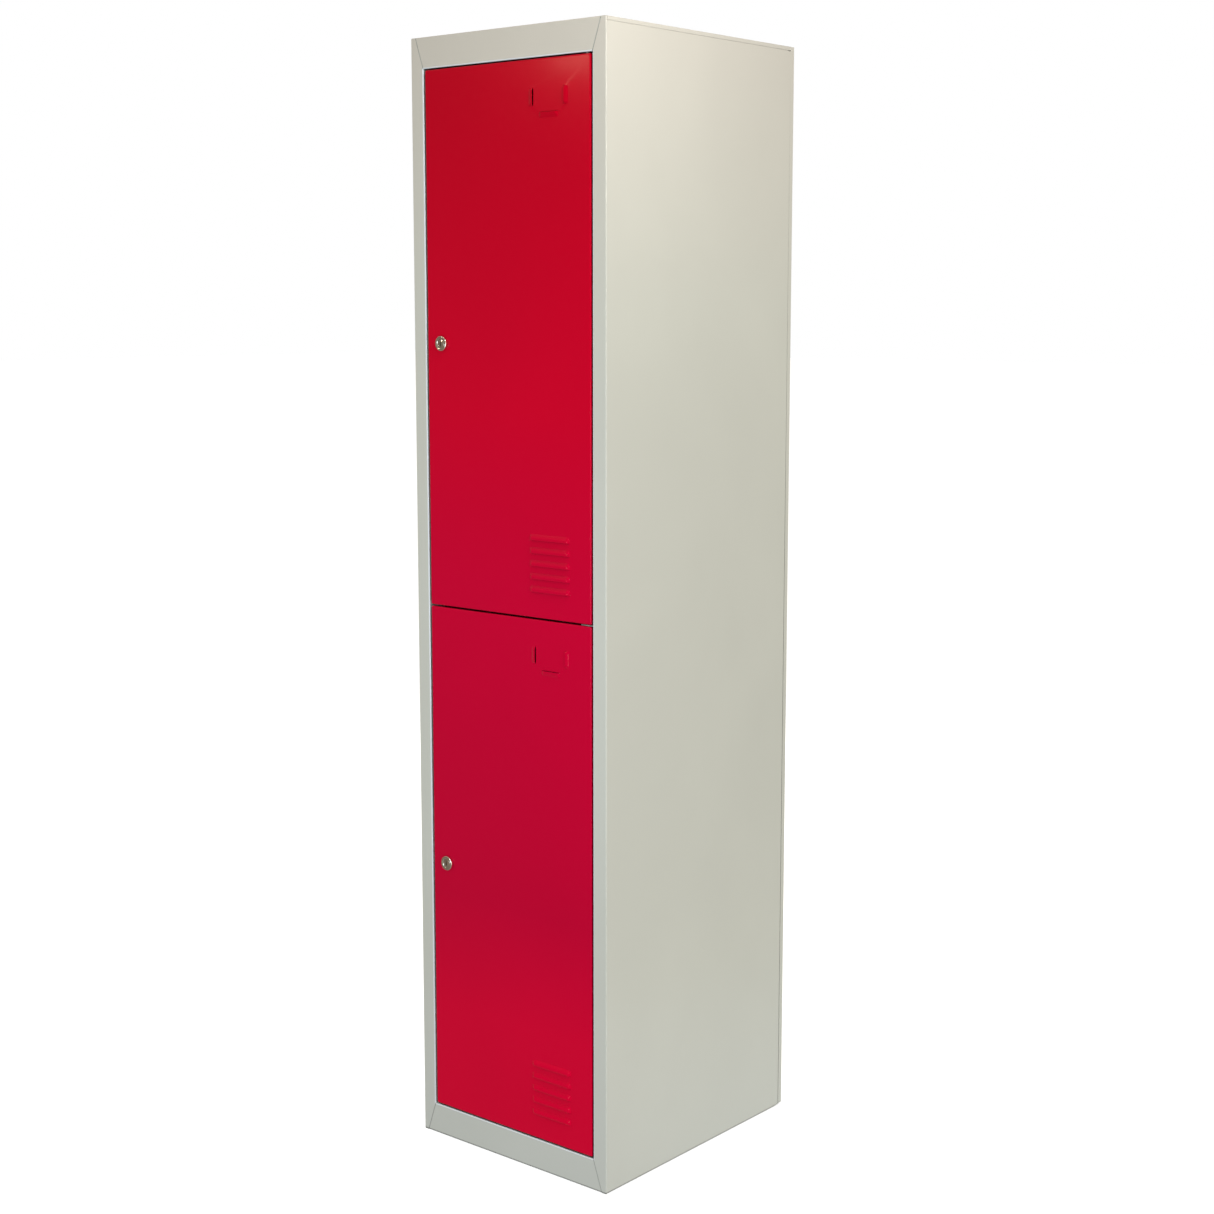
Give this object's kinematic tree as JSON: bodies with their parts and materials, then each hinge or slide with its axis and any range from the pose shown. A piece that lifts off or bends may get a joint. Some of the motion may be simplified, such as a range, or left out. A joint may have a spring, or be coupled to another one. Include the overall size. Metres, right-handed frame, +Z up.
{
  "type": "two-tier school locker",
  "caption": "Free-standing steel locker, one compartment above the other, each with a side-hinged louvred door, card tabs, a cam lock and a coat hook.",
  "frame": {"origin": "centre of the object's footprint, on the floor it stands on", "axes": "+Z up, -Y out of the doors, +X to the right as seen from the front, which is the hinge side"},
  "size_m": [0.38, 0.4544, 1.7],
  "materials": {
    "body_paint": "light warm grey powder coat, satin, fine orange peel",
    "door_paint": "crimson powder coat, glossy",
    "chrome": "polished chrome plate",
    "zinc": "bright zinc plate",
    "nylon": "natural white nylon",
    "rubber": "black rubber"
  },
  "bodies": {
    "cabinet": {"left_side_panel": "body_paint", "right_side_panel": "body_paint", "top_panel": "body_paint", "bottom_panel": "body_paint", "back_panel": "body_paint", "divider_shelf": "body_paint", "pivot_bracket": "zinc", "upper_pivot_pin": "zinc", "middle_pivot_pin": "zinc", "lower_pivot_pin": "zinc", "upper_coat_hook": "zinc", "lower_coat_hook": "zinc", "upper_door_top_buffer": "rubber", "upper_door_bottom_buffer": "rubber", "lower_door_top_buffer": "rubber", "lower_door_bottom_buffer": "rubber"},
    "upper_door": {"upper_door_panel": "door_paint", "upper_door_stiffener": "door_paint", "upper_door_top_bush": "nylon", "upper_door_bottom_bush": "nylon", "upper_lock_barrel": "chrome", "upper_lock_washer": "zinc", "upper_lock_nut": "zinc"},
    "lower_door": {"lower_door_panel": "door_paint", "lower_door_stiffener": "door_paint", "lower_door_top_bush": "nylon", "lower_door_bottom_bush": "nylon", "lower_lock_barrel": "chrome", "lower_lock_washer": "zinc", "lower_lock_nut": "zinc"},
    "upper_lock": {"upper_lock_plug": "chrome", "upper_lock_cam": "zinc", "upper_cam_screw": "zinc"},
    "lower_lock": {"lower_lock_plug": "chrome", "lower_lock_cam": "zinc", "lower_cam_screw": "zinc"}
  },
  "joints": [
    {"name": "upper_door_hinge", "type": "hinge", "parent": "cabinet", "child": "upper_door", "pos_m": [0.15, -0.21475, 1.25212], "axis": [0, 0, 1], "range_deg": [0, 110]},
    {"name": "lower_door_hinge", "type": "hinge", "parent": "cabinet", "child": "lower_door", "pos_m": [0.15, -0.21475, 0.44988], "axis": [0, 0, 1], "range_deg": [0, 110]},
    {"name": "upper_lock_turn", "type": "hinge", "parent": "upper_door", "child": "upper_lock", "pos_m": [-0.1315, -0.22275, 1.25012], "axis": [0, 1, 0], "range_deg": [0, 90]},
    {"name": "lower_lock_turn", "type": "hinge", "parent": "lower_door", "child": "lower_lock", "pos_m": [-0.1315, -0.22275, 0.44788], "axis": [0, 1, 0], "range_deg": [0, 90]}
  ]
}
